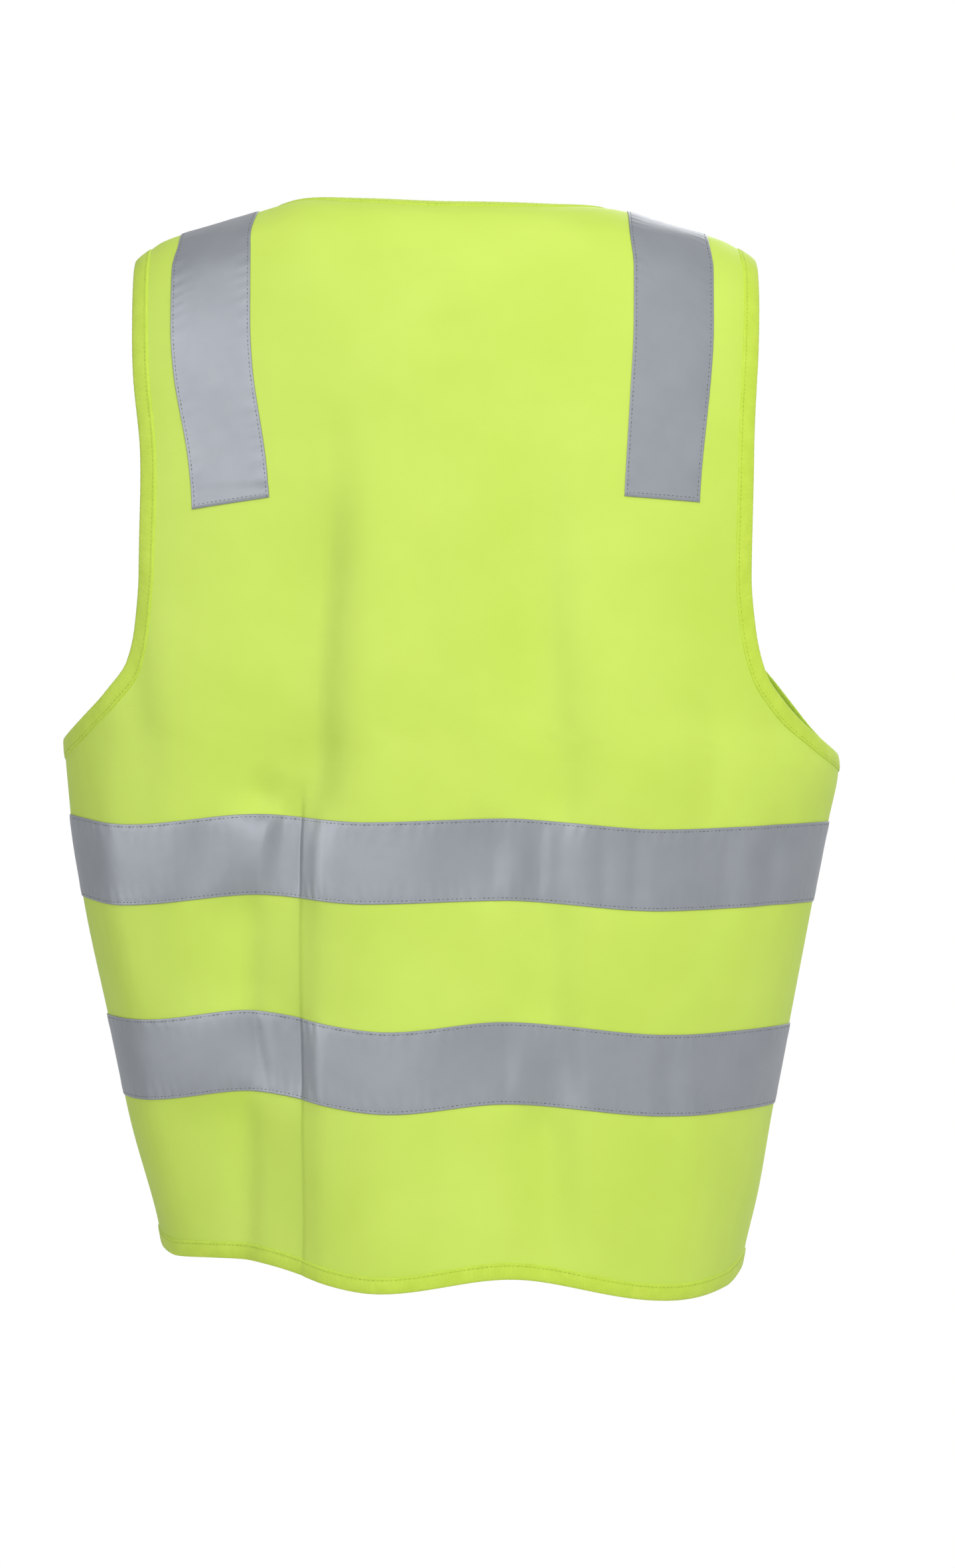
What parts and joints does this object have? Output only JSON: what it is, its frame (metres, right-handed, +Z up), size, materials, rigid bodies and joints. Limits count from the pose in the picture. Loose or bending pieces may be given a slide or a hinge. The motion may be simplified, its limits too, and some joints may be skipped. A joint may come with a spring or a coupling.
{
  "type": "high visibility vest",
  "caption": "Sleeveless fluorescent yellow safety waistcoat with grey reflective bands round the waist, tapes over the shoulders, bound edges and an open-ended front zip.",
  "frame": {"origin": "wearer's neck point: plane of symmetry, level with the tops of the shoulders, midway front to back", "axes": "+Z up, +Y out of the wearer's chest (zip side), +X to the wearer's right; the back faces -Y"},
  "size_m": [0.4916, 0.2863, 0.6774],
  "materials": {
    "fluorescent_cloth": "knitted polyester, slight sheen",
    "binding": "folded polyester tape, satin",
    "reflective_tape": "glass bead retroreflective, silver grey",
    "seam_allowance": "overlocked edge",
    "label_cloth": "printed satin, blank",
    "zip_tape": "woven zip tape",
    "zip_plastic": "moulded, satin",
    "zip_metal": "enamelled zinc"
  },
  "bodies": {
    "back": {"back_panel": "fluorescent_cloth", "neck_binding_back": "binding", "armhole_binding_left_back": "binding", "armhole_binding_right_back": "binding", "hem_binding_back": "binding", "upper_waist_tape_back": "reflective_tape", "lower_waist_tape_back": "reflective_tape", "shoulder_tape_left_back": "reflective_tape", "shoulder_tape_right_back": "reflective_tape", "side_seam_left": "seam_allowance", "side_seam_right": "seam_allowance", "shoulder_seam_left": "seam_allowance", "shoulder_seam_right": "seam_allowance", "neck_label": "label_cloth"},
    "left_front": {"left_front_panel": "fluorescent_cloth", "neck_binding_left": "binding", "armhole_binding_left_front": "binding", "hem_binding_left": "binding", "upper_waist_tape_left": "reflective_tape", "lower_waist_tape_left": "reflective_tape", "shoulder_tape_left_front": "reflective_tape", "zip_tape_left": "zip_tape", "zip_teeth_left": "zip_plastic", "zip_top_stop_left": "zip_plastic", "zip_insertion_pin": "zip_plastic"},
    "right_front": {"right_front_panel": "fluorescent_cloth", "neck_binding_right": "binding", "armhole_binding_right_front": "binding", "hem_binding_right": "binding", "upper_waist_tape_right": "reflective_tape", "lower_waist_tape_right": "reflective_tape", "shoulder_tape_right_front": "reflective_tape", "zip_tape_right": "zip_tape", "zip_teeth_right": "zip_plastic", "zip_top_stop_right": "zip_plastic", "zip_retaining_pin": "zip_plastic", "zip_box": "zip_plastic"},
    "slider": {"zip_slider": "zip_metal"},
    "pull": {"zip_pull": "zip_metal"}
  },
  "joints": [
    {"name": "left_front_open", "type": "hinge", "parent": "back", "child": "left_front", "pos_m": [-0.21, 0.08, -0.34], "axis": [0, 0, 1], "range_deg": [0, 70]},
    {"name": "right_front_open", "type": "hinge", "parent": "back", "child": "right_front", "pos_m": [0.21, 0.08, -0.34], "axis": [0, 0, -1], "range_deg": [0, 70]},
    {"name": "zip_slide", "type": "slide", "parent": "right_front", "child": "slider", "axis": [0, 0, 1], "range_m": [0, 0.458]},
    {"name": "pull_swing", "type": "hinge", "parent": "slider", "child": "pull", "pos_m": [0.0063, 0.1386, -0.6514], "axis": [1, 0, 0], "range_deg": [0, 150]}
  ]
}
